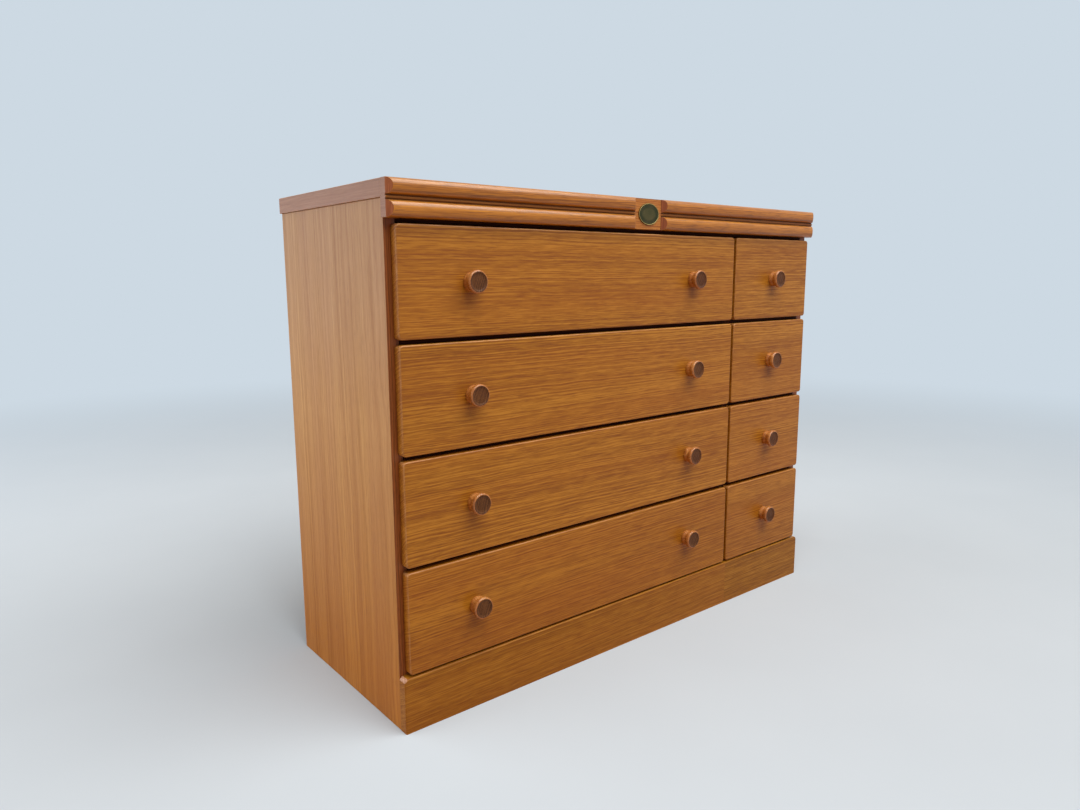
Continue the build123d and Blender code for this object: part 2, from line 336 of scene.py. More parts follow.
    # rubbed arrises show in patches where the surface turns away from the square
    if worn:
        squareness = put(tree, vector_node, {0: facing}, operation="ABSOLUTE")
        squareness = put(tree, "ShaderNodeSeparateXYZ", {0: squareness}).outputs
        most = put(tree, math_node, {0: squareness["X"], 1: squareness["Y"]}, operation="MAXIMUM")
        most = put(tree, math_node, {0: most, 1: squareness["Z"]}, operation="MAXIMUM")
        rubbed = put(tree, range_node, {0: most, 1: 0.985, 2: 0.86, 4: worn_share})
        patch = put(tree, vector_node, {0: here, 1: (45, 45, 45)}, operation="MULTIPLY")
        patch = put(tree, noise_node, {"Vector": patch, "Scale": 1.0, "Detail": 3.0})
        patch = put(tree, range_node, {0: patch, 1: 0.35, 2: 0.65, 3: 0.25, 4: 1.0})
        rubbed = put(tree, math_node, {0: rubbed, 1: patch}, operation="MULTIPLY")
        layers.append((rubbed, hex_colour(worn), "MIX"))

    for share, over, blend in layers:
        inputs = {0: share, 6: colour, 7: over}
        colour = put(tree, "ShaderNodeMix", inputs, data_type="RGBA", blend_type=blend)

    dull, bright = roughness[1], roughness[0]
    gloss = put(tree, range_node, {0: tone, 1: 0.2, 2: 0.8, 3: dull, 4: bright})
    rise = put(tree, math_node, {0: tone, 1: pores}, operation="SUBTRACT")
    bump = put(
        tree, "ShaderNodeBump", {"Strength": 0.6, "Distance": relief * MM, "Height": rise}
    )
    shader = put(
        tree,
        "ShaderNodeBsdfPrincipled",
        {
            "Base Color": colour,
            "Roughness": gloss,
            "Normal": bump,
            "IOR": 1.5,
            "Specular IOR Level": specular,
        },
    )
    put(tree, "ShaderNodeOutputMaterial", {"Surface": shader})
    return material


def metal(name, base, high, rise, grime, roughness, grit, scratch):
    """Metal with tarnish in its hollows. grit and scratch, its grain and relief, are in mm.

    rise is the pair of places along Y, in metres, between which the polish comes up to high, or
    None for an even metal.
    """
    material = bpy.data.materials.new(name)
    material.use_nodes = True
    tree = material.node_tree
    tree.nodes.clear()
    noise_node, range_node = "ShaderNodeTexNoise", "ShaderNodeMapRange"
    here = put(tree, "ShaderNodeTexCoord").outputs["Object"]
    speck = put(tree, noise_node, {"Vector": here, "Scale": 1000 / grit, "Detail": 3.0})
    cloud = put(tree, noise_node, {"Vector": here, "Scale": 1000 / (9 * grit), "Detail": 3.0})
    clouded = put(tree, range_node, {0: cloud, 1: 0.35, 2: 0.65, 3: 0.0, 4: 0.75})
    specked = put(tree, range_node, {0: speck, 1: 0.4, 2: 0.65, 3: 0.0, 4: 0.4})
    layers = [(clouded, grime), (specked, grime)]
    if rise:
        depth = put(tree, "ShaderNodeSeparateXYZ", {0: here}).outputs["Y"]
        polished = put(tree, range_node, {0: depth, 1: rise[0], 2: rise[1]})
        layers.append((polished, high))
    colour = hex_colour(base)
    for share, code in layers:
        inputs = {0: share, 6: colour, 7: hex_colour(code)}
        colour = put(tree, "ShaderNodeMix", inputs, data_type="RGBA")
    gloss = put(tree, range_node, {0: speck, 1: 0.3, 2: 0.7, 3: roughness[0], 4: roughness[1]})
    bump = put(
        tree, "ShaderNodeBump", {"Strength": 0.5, "Distance": scratch * MM, "Height": speck}
    )
    shader = put(
        tree,
        "ShaderNodeBsdfPrincipled",
        {"Base Color": colour, "Roughness": gloss, "Normal": bump, "Metallic": 1.0},
    )
    put(tree, "ShaderNodeOutputMaterial", {"Surface": shader})
    return material


# ---------------------------------------------------------------- sizes and colours to change


class ChestSizes(bpy.types.PropertyGroup):
    """Sizes of the pieces that are shaped here."""

    arris: bpy.props.FloatProperty(
        name="Board arris",
        description="Rounding of the hard edges of the case boards",
        default=0.8 * MM,
        min=0.1 * MM,
        max=2 * MM,
        unit="LENGTH",
    )
    inner_arris: bpy.props.FloatProperty(
        name="Drawer box arris",
        description="Rounding of the hard edges of the boards inside",
        default=0.6 * MM,
        min=0.1 * MM,
        max=2 * MM,
        unit="LENGTH",
    )
    block_arris: bpy.props.FloatProperty(
        name="Block arris",
        description="Rounding of the hard edges of the block that carries the plate",
        default=1.5 * MM,
        min=0.1 * MM,
        max=2 * MM,
        unit="LENGTH",
    )
    plinth_corner: bpy.props.FloatProperty(
        name="Plinth corner",
        description="Radius of the plinth's two top corners, seen from the front",
        default=6.5 * MM,
        min=1 * MM,
        max=12 * MM,
        unit="LENGTH",
    )
    plinth_arris: bpy.props.FloatProperty(
        name="Plinth arris",
        description="Rounding of the plinth's front edges",
        default=2.2 * MM,
        min=0.1 * MM,
        max=4 * MM,
        unit="LENGTH",
    )
    knob_foot: bpy.props.FloatProperty(
        name="Knob foot diameter",
        description="Width of a knob where it meets the drawer front",
        default=28.5 * MM,
        unit="LENGTH",
    )
    knob_waist: bpy.props.FloatProperty(
        name="Knob waist diameter",
        description="Width of a knob at its narrowest",
        default=26.4 * MM,
        unit="LENGTH",
    )
    knob_dish: bpy.props.FloatProperty(
        name="Knob dish",
        description="Depth of the hollow turned in a knob's face",
        default=1.2 * MM,
        unit="LENGTH",
    )
    plate_rim: bpy.props.FloatProperty(
        name="Plate rim width",
        description="Width of the raised rim of the oval plate",
        default=1.3 * MM,
        unit="LENGTH",
    )
    pin_head: bpy.props.FloatProperty(
        name="Back pin head diameter",
        description="Width of the pin heads that hold the back panel",
        default=3.2 * MM,
        unit="LENGTH",
    )
    pin_spacing: bpy.props.FloatProperty(
        name="Back pin spacing",
        description="Largest distance between the pins of the back panel",
        default=95 * MM,
        unit="LENGTH",
    )


class ChestColours(bpy.types.PropertyGroup):
    """Colours of the studio; the woods and metals have theirs beside their patterns."""

    floor: bpy.props.FloatVectorProperty(
        name="Floor",
        description="Colour of the studio floor",
        default=hex_colour("#C9CFD4")[:3],
        size=3,
        subtype="COLOR",
        min=0,
        max=1,
    )
    backdrop: bpy.props.FloatVectorProperty(
        name="Backdrop",
        description="Colour seen behind the chest",
        default=hex_colour("#CDD9E3")[:3],
        size=3,
        subtype="COLOR",
        min=0,
        max=1,
    )


# ---------------------------------------------------------------- pieces


# Pale solid wood, sanded and left bare: dull, with fibres that lift a little along the arrises.
SANDED = dict(
    tones=("#C9A673", "#DABB8A", "#E6CC9F"),
    warm="#D2AC7A",
    roughness=(0.6, 0.75),
    specular=0.3,
    worn="#E3CDA8",
    worn_share=0.4,
)

# Rotary-cut plywood: broad wandering figure, pale.
PLYWOOD = dict(
    tones=("#BE9560", "#D2AC78", "#E0C090"), warm="#C99F6C", ring_share=0.7, specular=0.3
)

# Heights in metres between which the moulding is groove, not bead, and takes the painted groove
# shade.
GROOVE_LOW, GROOVE_HIGH = 0.768, 0.7765


class CHEST_OT_case(bpy.types.Operator):
    """Rounds over the boards of the case and finishes them"""

    bl_idname = "chest.case"
    bl_label = "Case boards"

    def execute(self, context):
        sizes = context.scene.chest_sizes
        # Sliced straight-grained veneer under satin lacquer: fine upright streaks. Painted light
        # and shade
        # by height: yellower near the floor, where warm floor bounce falls, brightest in the middle
        # and a little darker and greyer at the top.
        side = wood(
            "lacquered_side_veneer",
            "Z",
            ("#A9753F", "#BC8951", "#CF9F63"),
            "#B5805A",
            pith=(0, 420, 500),
            tilt=(0, 0.5, 0.4),
            ring_share=0.42,
            streak=(90, 1.8),
            streak_share=0.4,
            band=(1600, 20),
            band_share=0.36,
            pore_share=0.15,
            warm_share=0.4,
            specular=0.25,
            worn="#C99A76",
            worn_share=0.6,
            # painted light and shade: warm floor bounce low down, a little darker at the top
            tint=((0.05, "#E6C45A"), (0.45, "#FFFFEE"), (0.77, "#DDDACD")),
        )
        # Dark stained lipping on the narrow edges.
        lipping = wood(
            "stained_edge_lipping",
            "Z",
            ("#723D14", "#86491F", "#985627"),
            "#6E341A",
            worn="#A8754C",
            worn_share=0.7,
        )
        on_edge = ((lambda normal, middle: abs(normal.y) > 0.75 or abs(normal.z) > 0.75, lipping),)
        for hand in ("left", "right"):
            softened(
                f"side_panel_{hand}",
                f"{hand}_side_board",
                side,
                "case",
                sizes.arris,
                bands=on_edge,
            )
        # The same veneer laid flat on the top; its ends carry a pinkish band with level grain.
        top = wood(
            "lacquered_top_veneer",
            "X",
            ("#8F5A28", "#A86F36", "#BE8546"),
            "#A5622F",
            pith=(0, 420, -380),
            tilt=(0, 1.0, 0.6),
            worn="#C99A76",
            worn_share=0.5,
        )
        end_band = wood(
            "lacquered_end_band",
            "Y",
            ("#7E4E2E", "#8C5935", "#9A6640"),
            "#8C5A3C",
            ring_share=0.35,
            streak_share=0.4,
            pore_share=0.15,
            worn="#C9A488",
            worn_share=0.6,
        )
        softened(
            "top_panel",
            "top_board",
            top,
            "case",
            0.3 * MM,
            bands=((lambda normal, middle: abs(normal.x) > 0.6, end_band),),
        )
        # Softwood behind the gaps, coloured dark, dull, with little figure.
        dark = dict(
            tones=("#2E130A", "#3C1B0E", "#4A2413"),
            warm="#3A160A",
            roughness=(0.65, 0.8),
            specular=0.12,
            worn="#6A4028",
            worn_share=0.35,
        )
        rail = wood("dark_rail_wood", "X", **dark)
        upright = wood("dark_partition_wood", "Z", **dark)
        softened("front_rails", "front_rail_bars", rail, "case", sizes.inner_arris)
        softened(
            "centre_partition", "partition_board", upright, "case", sizes.inner_arris
        )
        # The runners are of the drawer boxes' wood, rubbed smoother and greyer by the grooves.
        along = wood("sanded_board_along", "X", **SANDED)
        slid = dict(SANDED, roughness=(0.55, 0.7), worn="#CBB088", worn_share=0.6)
        runner = wood("sanded_runner_wood", "Y", **slid)
        inner = sizes.inner_arris
        softened("bottom_panel", "case_floor_board", along, "case", inner)
        softened("drawer_runners", "runner_strips", runner, "case", inner)
        ply = wood(
            "rotary_cut_plywood",
            "Z",
            pith=(0, 60, 188),
            tilt=(0, 3, 2),
            ring=9,
            streak=(60, 2.4),
            roughness=(0.6, 0.75),
            **PLYWOOD,
        )
        softened("back_panel", "back_sheet", ply, "case", 0.4 * MM)
        return {"FINISHED"}


class CHEST_OT_moulding(bpy.types.Operator):
    """Finishes the two lengths of double-bead moulding and the plain block between them"""

    bl_idname = "chest.moulding"
    bl_label = "Top moulding and block"

    def execute(self, context):
        sizes = context.scene.chest_sizes
        # Machined solid moulding under lacquer: golden, with long dark pores.
        bead = wood(
            "lacquered_moulding_wood",
            "X",
            ("#844B08", "#AA6813", "#C68225"),
            "#AE6420",
            pith=(0, 400, -420),
            tilt=(0, 0.8, 0.5),
            ring_share=0.5,
            streak_share=0.5,
            pore=(26, 1.6),
            pore_share=0.35,
            specular=0.55,
            roughness=(0.26, 0.36),
        )
        # Cut across the fibres the same wood drinks stain and turns redder.
        bead_cut = wood(
            "stained_moulding_cut",
            "Z",
            ("#844524", "#985530", "#AA663E"),
            "#8A4424",
            streak=(60, 1.6),
            ring_share=0.4,
        )
        # Painted shade: the groove between the beads is coloured darker, as shade falls there.
        groove = wood(
            "painted_groove_shade_and_dark_arris",
            "X",
            ("#74400F", "#885018", "#9C6226"),
            "#783A16",
            streak_share=0.5,
            roughness=(0.4, 0.5),
            specular=0.25,
        )
        end_band = bpy.data.materials["lacquered_end_band"]
        softened(
            "top_mouldings",
            "bead_moulding",
            bead,
            "case",
            0.35 * MM,
            bands=(
                # painted shade in the groove between the beads
                (lambda normal, middle: GROOVE_LOW < middle.z < GROOVE_HIGH, groove),
                (
                    lambda normal, middle: 0.6 < abs(normal.x) < 0.9 and abs(normal.z) < 0.2,
                    bead_cut,
                ),
                (lambda normal, middle: abs(normal.x) >= 0.9, end_band),
            ),
        )
        block = wood(
            "lacquered_block_wood",
            "X",
            ("#925422", "#AE6E2E", "#C48440"),
            "#B46830",
            pith=(0, 400, -420),
            worn="#D3A27C",
            worn_share=0.6,
        )
        softened(
            "moulding_block",
            "plate_block",
            block,
            "case",
            sizes.block_arris,
            # the block's top front arris takes the groove's dark colour, a dark line along it
            bands=((lambda normal, middle: normal.y < -0.15 and normal.z > 0.15, groove),),
        )
        return {"FINISHED"}


class CHEST_OT_plate(bpy.types.Operator):
    """Stamps the bare oval plate with its raised rim"""

    bl_idname = "chest.plate"
    bl_label = "Oval plate"

    def execute(self, context):
        sizes = context.scene.chest_sizes
        low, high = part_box("medallion")
        middle, size = (low + high) / 2, high - low
        bm = bmesh.new()
        ring = bmesh.ops.create_circle(bm, cap_ends=True, cap_tris=False, segments=96, radius=0.5)
        stand_up = Matrix.Translation((middle.x, high.y, middle.z)) @ Matrix.Rotation(
            math.pi / 2, 4, "X"
        )
        bmesh.ops.transform(
            bm, matrix=stand_up @ Matrix.Diagonal((size.x, size.z, 1, 1)), verts=ring["verts"]
        )
        face = bm.faces[:][0]
        grown = bmesh.ops.extrude_face_region(bm, geom=[face])
        bmesh.ops.delete(bm, geom=[face], context="FACES_KEEP_BOUNDARY")
        face = next(f for f in grown["geom"] if isinstance(f, bmesh.types.BMFace))
        bmesh.ops.translate(bm, vec=(0, -(size.y - 0.35 * MM), 0), verts=face.verts[:])
        bmesh.ops.holes_fill(bm, edges=[e for e in bm.edges if e.is_boundary])
        # inset and rise of each step in millimetres, from the outside of the rim to the field;
        # the insets are drawn for a rim of 1.6 mm
        drawn_rim = 1.6 * MM
        profile = (
            (0.12, 0.20), (0.25, 0.12), (0.35, 0.03), (0.35, -0.05), (0.30, -0.17), (0.23, -0.28),
            (0.15, -0.10), (0.9, 0.0), (0.2, 0.12), (0.2, 0.0), (0.2, -0.12), (1.6, 0.02),
            (3.0, 0.08), (4.0, 0.05),
        )
        for inward, rise in profile:
            width = inward * MM * (sizes.plate_rim / drawn_rim)
            bm.normal_update()
            bmesh.ops.inset_region(
                bm, faces=[face], thickness=width, use_even_offset=True, depth=0.0
            )
            bmesh.ops.translate(bm, vec=(0, -rise * MM, 0), verts=face.verts[:])
        # Die-struck brass gone dark olive, rubbed bright on the raised rim.
        bronze = metal(
            "patinated_brass",
            "#564C34",
            "#A38B55",
            (low.y + 0.5 * MM, low.y + 0.1 * MM),
            "#333A26",
            (0.45, 0.62),
            1.5,
            0.08,
        )
        plate = piece_from(bm, "oval_plate", [bronze], "case", ["medallion"])
        shade(plate, 40)
        return {"FINISHED"}


class CHEST_OT_fronts(bpy.types.Operator):
    """Finishes the eight drawer fronts and the plinth"""

    bl_idname = "chest.fronts"
    bl_label = "Drawer fronts and plinth"

    def execute(self, context):
        sizes = context.scene.chest_sizes
        # Sliced honey-stained veneer under satin lacquer: fine level streaks that wander gently,
        # short pores, redder areas, and paler rubbed arrises. Painted shade makes it darker close
        # under the moulding, most of all along the top arris, and painted warm floor bounce makes
        # it yellower near the floor.
        veneer = dict(
            warm="#A05618",
            tilt=(0, 0.6, 1.0),
            ring_share=0.75,
            streak=(45, 1.7),
            band_share=0.42,
            pore_share=0.18,
            cells=FRONT_CELLS,
        )
        front = wood(
            "lacquered_front_veneer",
            "X",
            ("#884E14", "#A0661A", "#BA7E2C"),
            worn="#C58F62",
            worn_share=0.45,
            # painted shade under the moulding and along the top arris, painted floor bounce low
            # down
            tint=(
                (0.09, "#F2E8AD"),
                (0.28, "#FFFCE6"),
                (0.715, "#FFFFF6"),
                (0.737, "#E0DCD4"),
                (0.754, "#C4BDB2"),
                (0.757, "#6A5A50"),
            ),
            **veneer,
        )
        # The plinth's veneer is a shade more olive, and its straight edges are not rubbed.
        plinth = wood(
            "lacquered_plinth_veneer",
            "X",
            ("#7E4A0C", "#966112", "#AE7722"),
            specular=0.27,
            **veneer,
        )
        # Painted highlight: the up-facing parts of its round top corners are coloured pale pink,
        # where the overhead light catches them.
        corner_highlight = wood("painted_highlight_plinth_corner", "Z", ("#A67656", "#B88666", "#C8987A"), "#AE7E62")
        for drawer in DRAWERS:
            finish_node(f"{drawer}_front", front)

        # the plinth board, its top corners cut round like those of the fronts above it
        low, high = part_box("plinth_board")
        bm = bmesh.new()
        board = bmesh.ops.create_cube(bm, size=1)["verts"]
        bmesh.ops.scale(bm, vec=high - low, verts=board)
        bmesh.ops.translate(bm, vec=(low + high) / 2, verts=board)
        corners = []
        for edge in bm.edges:
            one, other = (v.co for v in edge.verts)
            if min(one.z, other.z) > high.z - NEAR and abs(one.x - other.x) < NEAR:
                corners.append(edge)
        round_edges(bm, corners, sizes.plinth_corner, 8)
        face_edges = []
        for edge in bm.edges:
            one, other = (v.co for v in edge.verts)
            if max(one.y, other.y) < low.y + NEAR and max(one.z, other.z) > low.z + NEAR:
                face_edges.append(edge)
        round_edges(bm, face_edges, sizes.plinth_arris, 4)
        bm.normal_update()
        # painted highlight on the up-facing faces of the round top corners
        for face in bm.faces:
            corner_highlit = face.normal.z > 0.25 and abs(face.normal.x) > 0.25
            face.material_index = int(corner_highlit)
        board = piece_from(
            bm, "plinth_front_board", [plinth, corner_highlight], "case", ["plinth_board"]
        )
        shade(board)
        return {"FINISHED"}


class CHEST_OT_boxes(bpy.types.Operator):
    """Rounds over and finishes the boards of the eight drawer boxes"""

    bl_idname = "chest.boxes"
    bl_label = "Drawer boxes"

    def execute(self, context):
        sizes = context.scene.chest_sizes
        sawn = dict(SANDED, tilt=(0, 1, 1), cells=BOX_CELLS)
        side = wood("sanded_drawer_side", "Y", **sawn)
        back = wood("sanded_drawer_back", "X", pith=(0, 150, -80), **sawn)
        sheet = wood(
            "thin_drawer_plywood",
            "X",
            pith=(0, 0, -60),
            tilt=(0, 2, 3),
            ring=8,
            cells=BOX_CELLS,
            roughness=(0.55, 0.7),
            **PLYWOOD,
        )
        for drawer in DRAWERS:
            for node, board, material in (
                ("sides", "side_boards", side),
                ("back", "back_board", back),
            ):
                softened(
                    f"{drawer}_{node}",
                    f"{drawer}_{board}",
                    material,
                    drawer,
                    sizes.inner_arris,
                )
            finish_node(f"{drawer}_bottom", sheet)
        return {"FINISHED"}


def knob_centres(drawer):
    """Where a drawer's knobs meet its front, their radius and their length.

    A narrow front has one knob in its middle, a wide one has two.
    """
    low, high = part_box(f"{drawer}_knobs")
    radius = (high.z - low.z) / 2
    one_knob = high.x - low.x < 3 * radius
    across = [(low.x + high.x) / 2] if one_knob else [low.x + radius, high.x - radius]
    centres = [Vector((x, high.y, (low.z + high.z) / 2)) for x in across]
    return centres, radius, high.y - low.y


class CHEST_OT_knobs(bpy.types.Operator):
    """Turns the twelve wooden knobs"""

    bl_idname = "chest.knobs"
    bl_label = "Knobs"

    def execute(self, context):
        sizes = context.scene.chest_sizes
        # Turned close-grained wood under lacquer: golden round the side, and the end grain of the
        # face has drunk the stain and gone dark.
        close_grained = dict(pith=(0, 30, -40), cells=KNOB_CELLS, scatter=(300, 60, 60))
        turned = wood(
            "turned_knob_wood",
            "Y",
            ("#8E5020", "#AE6C32", "#C68848"),
            "#A85E2A",
            ring_share=0.5,
            streak=(30, 1.0),
            streak_share=0.3,
            pore=(7, 0.7),
            pore_share=0.35,
            roughness=(0.18, 0.28),
            specular=0.5,
            **close_grained,
        )
        face_grain = wood(
            "turned_knob_end_grain",
            "Y",
            ("#40200C", "#583214", "#724824"),
            "#582814",
            ring=1.6,
            streak=(30, 0.9),
            pore=(5, 0.8),
            pore_share=0.4,
            roughness=(0.45, 0.58),
            specular=0.24,
            **close_grained,
        )
        for drawer in DRAWERS:
            centres, radius, length = knob_centres(drawer)
            foot, waist, dish = sizes.knob_foot / 2, sizes.knob_waist / 2, sizes.knob_dish
            foot_top, rim_at, waist_at = 4.1 * MM, 0.675 * length, 0.45
            # (radius, height) pairs from the seat on the axis, out over the foot, cove and rim,
            # and back over the dished face with its two turned rings
            outline = [(0, 0), (foot - 0.6 * MM, 0), (foot, 0.6 * MM), (foot, foot_top)]
            for part in range(1, 9):
                way = part / 9
                cove = waist + (foot - waist) * max(0, 1 - way / waist_at) ** 2
                cove += (radius - waist) * max(0, (way - waist_at) / (1 - waist_at)) ** 2.2
                outline.append((cove, foot_top + way * (rim_at - foot_top)))
            outline.append((radius - 0.15 * MM, rim_at))
            outline.append((radius, rim_at + 0.5 * MM))
            rounding = 3 * MM
            for part in range(0, 7):
                angle = math.pi / 2 * part / 6
                off = radius - rounding * (1 - math.cos(angle))
                outline.append((off, length - rounding * (1 - math.sin(angle))))
            inner = radius - rounding
            outline += [
                (inner - 0.5 * MM, length - 0.1 * MM),
                (inner - 1.6 * MM, length - 0.65 * dish),
                (inner - 2.6 * MM, length - 0.97 * dish),
                (inner - 3.4 * MM, length - dish),
                (0.52 * radius, length - dish),
                (0.50 * radius, length - dish - 0.16 * MM),
                (0.48 * radius, length - dish),
                (0.24 * radius, length - dish + 0.05 * MM),
                (0.22 * radius, length - dish - 0.12 * MM),
                (0.20 * radius, length - dish + 0.05 * MM),
                (0, length - dish + 0.05 * MM),
            ]
            bm = bmesh.new()
            for centre in centres:
                spin_outline(bm, [(off, centre.y - out) for off, out in outline], centre, 56)
            bmesh.ops.remove_doubles(bm, verts=bm.verts, dist=NEAR)
            dark_from, front_y = radius - 2.1 * MM, centres[0].y - rim_at
            for face in bm.faces:
                spot = face.calc_center_median()
                off = min(math.hypot(spot.x - c.x, spot.z - c.z) for c in centres)
                face.material_index = int(off < dark_from and spot.y < front_y)
            knobs = piece_from(
                bm,
                f"{drawer}_turned_knobs",
                [turned, face_grain],
                drawer,
                [f"{drawer}_knobs"],
            )
            shade(knobs, 55)
        return {"FINISHED"}


class CHEST_OT_screws(bpy.types.Operator):
    """Makes the pan-head screws that hold the knobs, with their cross recesses"""

    bl_idname = "chest.screws"
    bl_label = "Knob screws"

    def execute(self, context):
        # Zinc-plated steel, tumbled: pale grey with a faint cloud.
        steel = metal(
            "zinc_plated_steel", "#A9A9A4", "#A9A9A4", None, "#86857E", (0.3, 0.45), 0.8, 0.02
        )
        head, rise, shank = 4.0 * MM, 2.5 * MM, 1.95 * MM
        # the cross recess: half an arm's width, its reach from the middle, its depth and its taper
        half_arm, reach, depth, taper = 0.45, 1.9, 1.3 * MM, 0.72
        across = (Vector((1, 0, 0)), Vector((0, 0, 1)))
        for drawer in DRAWERS:
            low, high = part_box(f"{drawer}_screws")
            seat = high.y - rise
            centres = knob_centres(drawer)[0]
            bm = bmesh.new()
            outline = (
                (0, low.y), (shank - 0.4 * MM, low.y), (shank, low.y + 0.6 * MM), (shank, seat),
                (head, seat), (head, seat + 0.9 * MM), (head - 0.3 * MM, seat + 1.6 * MM),
                (head - 0.9 * MM, seat + 2.2 * MM), (head - 1.7 * MM, high.y),
            )
            for centre in centres:
                spin_outline(bm, outline, centre, 24)
            bmesh.ops.remove_doubles(bm, verts=bm.verts, dist=NEAR)
            bmesh.ops.holes_fill(bm, edges=[e for e in bm.edges if e.is_boundary])

            def flat_of_heads():
                """The faces that lie in the flat top of a head."""
                return [f for f in bm.faces if all(abs(v.co.y - high.y) < NEAR for v in f.verts)]

            # cut the flat of each head along the lines of its cross, then sink the five cells
            for centre in centres:
                for axis in across:
                    for distance in (-reach, -half_arm, half_arm, reach):
                        top = [
                            f for f in flat_of_heads()
                            if abs(f.calc_center_median().x - centre.x) < 5 * MM
                        ]
                        parts = top + list({e for f in top for e in f.edges})
                        parts += list({v for f in top for v in f.verts})
                        bmesh.ops.bisect_plane(
                            bm,
                            geom=parts,
                            dist=1e-7,
                            plane_co=centre + axis * distance * MM,
                            plane_no=axis,
                        )
                cross = []
                for face in flat_of_heads():
                    off = face.calc_center_median() - centre
                    sides = abs(off.x) / MM, abs(off.z) / MM
                    if min(sides) < half_arm and max(sides) < reach:
                        cross.append(face)
                sunk = bmesh.ops.extrude_face_region(bm, geom=cross)
                bmesh.ops.delete(bm, geom=cross, context="FACES")
                for v in sunk["geom"]:
                    if isinstance(v, bmesh.types.BMVert):
                        off = v.co - centre
                        v.co = centre + Vector((off.x * taper, off.y - depth, off.z * taper))
            screws = piece_from(
                bm, f"{drawer}_pan_screws", [steel], drawer, [f"{drawer}_screws"]
            )
            shade(screws, 35)
        return {"FINISHED"}


class CHEST_OT_pins(bpy.types.Operator):
    """Sets the small domed pins round the edge of the back sheet"""

    bl_idname = "chest.pins"
    bl_label = "Back pins"

    def execute(self, context):
        sizes = context.scene.chest_sizes
        # Drawn steel wire pins with a dull phosphate skin.
        steel = metal(
            "dull_steel_pins", "#6E6A62", "#6E6A62", None, "#4C4842", (0.4, 0.6), 0.6, 0.02
        )
        low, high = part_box("back_panel")
        side_inset, end_inset = 4.5 * MM, 9 * MM
        left, right = low.x + side_inset, high.x - side_inset
        bottom, top = low.z + end_inset, high.z - end_inset
        across = math.ceil((right - left) / sizes.pin_spacing)
        upward = math.ceil((top - bottom) / sizes.pin_spacing)
        places = []
        for i in range(across + 1):
            x = left + (right - left) * i / across
            places += [(x, bottom), (x, top)]
        heights = [bottom + (top - bottom) * i / upward for i in range(1, upward)]
        places += [(x, z) for z in heights for x in (left, right)]
        places += [(PARTITION_X, z) for z in heights]
        face_back = Matrix.Rotation(-math.pi / 2, 4, "X")
        bm = bmesh.new()
        for x, z in places:
            dome = bmesh.ops.create_circle(
                bm,
                cap_ends=True,
                segments=10,
                radius=sizes.pin_head / 2,
                matrix=Matrix.Translation((x, high.y - 0.2 * MM, z)) @ face_back,
            )
            rim = dome["verts"]
            face = next(f for f in bm.faces if set(f.verts) == set(rim))
            grown = bmesh.ops.extrude_face_region(bm, geom=[face])
            cap = next(f for f in grown["geom"] if isinstance(f, bmesh.types.BMFace))
            bmesh.ops.translate(bm, vec=(0, 0.45 * MM, 0), verts=cap.verts[:])
            bm.normal_update()
            bmesh.ops.inset_region(bm, faces=[cap], thickness=0.45 * MM, use_even_offset=True)
            bmesh.ops.translate(bm, vec=(0, 0.25 * MM, 0), verts=cap.verts[:])
        pins = piece_from(bm, "back_pins", [steel], "case")
        shade(pins, 60)
        return {"FINISHED"}


def seen_rays(tree):
    """1 where a ray comes from the camera, from gloss or through glass, and 0 elsewhere."""
    rays = put(tree, "ShaderNodeLightPath").outputs
    seen = rays["Is Camera Ray"]
    for kind in ("Is Glossy Ray", "Is Transmission Ray"):
        seen = put(tree, "ShaderNodeMath", {0: seen, 1: rays[kind]}, operation="MAXIMUM")
    return seen


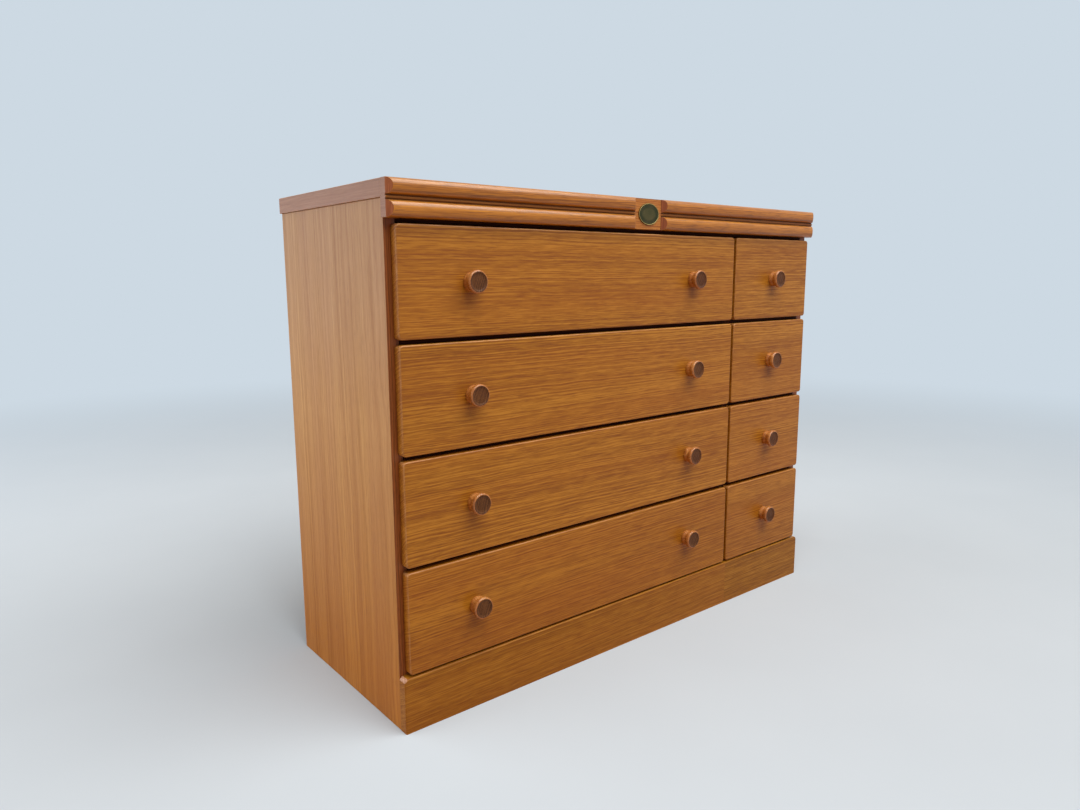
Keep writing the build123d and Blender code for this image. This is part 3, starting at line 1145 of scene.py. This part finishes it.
class CHEST_OT_stage(bpy.types.Operator):
    """Lays the pale floor, hangs the soft lights and sets the camera"""

    bl_idname = "chest.stage"
    bl_label = "Studio"

    def execute(self, context):
        scene = context.scene
        colours = scene.chest_colours
        backdrop = tuple(colours.backdrop) + (1.0,)

        world = bpy.data.worlds.new("studio_air")
        scene.world = world
        world.use_nodes = True
        tree = world.node_tree
        tree.nodes.clear()
        sky = {"Color": (0.96, 0.98, 1, 1), "Strength": 0.26}
        ambient = put(tree, "ShaderNodeBackground", sky)
        shown = put(tree, "ShaderNodeBackground", {"Color": backdrop, "Strength": 1.0})
        both = put(tree, "ShaderNodeMixShader", {0: seen_rays(tree), 1: ambient, 2: shown})
        put(tree, "ShaderNodeOutputWorld", {"Surface": both})

        floor_finish = bpy.data.materials.new("matt_painted_floor")
        floor_finish.use_nodes = True
        tree = floor_finish.node_tree
        tree.nodes.clear()
        seen = seen_rays(tree)
        here = put(tree, "ShaderNodeTexCoord").outputs["Object"]
        # the floor passes into the backdrop's colour between 0.9 m and 4.2 m from the chest
        away = put(tree, "ShaderNodeVectorMath", {0: here}, operation="LENGTH").outputs["Value"]
        away = put(
            tree, "ShaderNodeMapRange", {0: away, 1: 0.9, 2: 4.2}, interpolation_type="SMOOTHSTEP"
        )
        mottle = put(tree, "ShaderNodeTexNoise", {"Vector": here, "Scale": 3.0, "Detail": 3.0})
        mottle = put(tree, "ShaderNodeMapRange", {0: mottle, 1: 0.3, 2: 0.7, 3: 0.0, 4: 0.08})
        paint = put(
            tree,
            "ShaderNodeMix",
            {0: mottle, 6: tuple(colours.floor) + (1.0,), 7: hex_colour("#A9B1B8")},
            data_type="RGBA",
        )
        pale = put(tree, "ShaderNodeBsdfDiffuse", {"Color": paint, "Roughness": 0.6})
        bounce = put(tree, "ShaderNodeBsdfDiffuse", {"Color": hex_colour("#C09A6E")})
        far = put(tree, "ShaderNodeEmission", {"Color": backdrop, "Strength": 1.0})
        near = put(tree, "ShaderNodeMixShader", {0: seen, 1: bounce, 2: pale})
        fade = put(tree, "ShaderNodeMath", {0: away, 1: seen}, operation="MULTIPLY")
        ground = put(tree, "ShaderNodeMixShader", {0: fade, 1: near, 2: far})
        put(tree, "ShaderNodeOutputMaterial", {"Surface": ground})
        bm = bmesh.new()
        bmesh.ops.create_circle(bm, cap_ends=True, segments=96, radius=40)
        mesh = bpy.data.meshes.new("studio_floor")
        bm.to_mesh(mesh)
        bm.free()
        floor = bpy.data.objects.new("studio_floor", mesh)
        scene.collection.objects.link(floor)
        mesh.materials.append(floor_finish)

        # a warm panel overhead, out in front of the chest, and a cooler one, wide and low, off its
        # rear left corner; each row: name, place, target, size in metres, watts, tint
        warm_white, cool_white = (1.0, 0.985, 0.96), (0.98, 0.99, 1.0)
        for name, place, target, size, power, tint in (
            ("overhead_panel", (0.3, -1.35, 3.0), (0, 0, 0.45), (3.4, 2.3), 122, warm_white),
            ("side_panel_light", (-2.4, 1.5, 1.4), (-0.3, 0, 0.5), (3.2, 2.5), 56, cool_white),
        ):
            lamp = bpy.data.lights.new(name, "AREA")
            lamp.shape = "RECTANGLE"
            lamp.size, lamp.size_y = size
            lamp.energy = power
            lamp.color = tint
            light = bpy.data.objects.new(name, lamp)
            light.location = place
            aim = Vector(target) - Vector(place)
            light.rotation_euler = aim.to_track_quat("-Z", "Y").to_euler()
            light.visible_camera = False
            scene.collection.objects.link(light)

        # the camera stands 1.5 m from the chest's middle, off its front left corner, a little
        # below the height of the top, and looks slightly down
        right = Vector((0.77536329, -0.6314988, -0.00458749))
        up = Vector((0.10658506, 0.12369971, 0.98657894))
        back = -Vector((0.62245594, 0.76544605, -0.16322055))
        turn = Matrix((right, up, back)).transposed().to_4x4()
        frame_width, focal_length = 1080, 778.222  # both in pixels of the frame
        lens = bpy.data.cameras.new("front_left_camera")
        lens.sensor_fit = "HORIZONTAL"
        lens.sensor_width = 36
        lens.lens = focal_length / frame_width * lens.sensor_width
        camera = bpy.data.objects.new("front_left_camera", lens)
        camera.matrix_world = Matrix.Translation((-1.010745, -1.119486, 0.667815)) @ turn
        scene.collection.objects.link(camera)
        scene.camera = camera
        scene.view_settings.view_transform = "Standard"
        return {"FINISHED"}


class CHEST_PT_panel(bpy.types.Panel):
    """Lists the chest's sizes, colours and pieces"""

    bl_idname = "CHEST_PT_panel"
    bl_label = "Low chest"
    bl_space_type = "VIEW_3D"
    bl_region_type = "UI"
    bl_category = "Chest"

    def draw(self, context):
        for group in (context.scene.chest_sizes, context.scene.chest_colours):
            for name in group.__annotations__:
                self.layout.prop(group, name)
        for operator in OPERATORS:
            self.layout.operator(operator.bl_idname)


OPERATORS = (
    CHEST_OT_case,
    CHEST_OT_moulding,
    CHEST_OT_plate,
    CHEST_OT_fronts,
    CHEST_OT_boxes,
    CHEST_OT_knobs,
    CHEST_OT_screws,
    CHEST_OT_pins,
    CHEST_OT_stage,
)
CLASSES = (ChestSizes, ChestColours) + OPERATORS + (CHEST_PT_panel,)


def register():
    """Makes the classes and their settings known to Blender."""
    for cls in CLASSES:
        bpy.utils.register_class(cls)
    bpy.types.Scene.chest_sizes = bpy.props.PointerProperty(type=ChestSizes)
    bpy.types.Scene.chest_colours = bpy.props.PointerProperty(type=ChestColours)


def unregister():
    """Takes them away again."""
    del bpy.types.Scene.chest_sizes
    del bpy.types.Scene.chest_colours
    for cls in reversed(CLASSES):
        bpy.utils.unregister_class(cls)


def main():
    """Builds every piece and the studio."""
    register()
    for operator in OPERATORS:
        group, name = operator.bl_idname.split(".")
        getattr(getattr(bpy.ops, group), name)()
    bpy.context.view_layer.update()


if __name__ == "__main__":
    main()
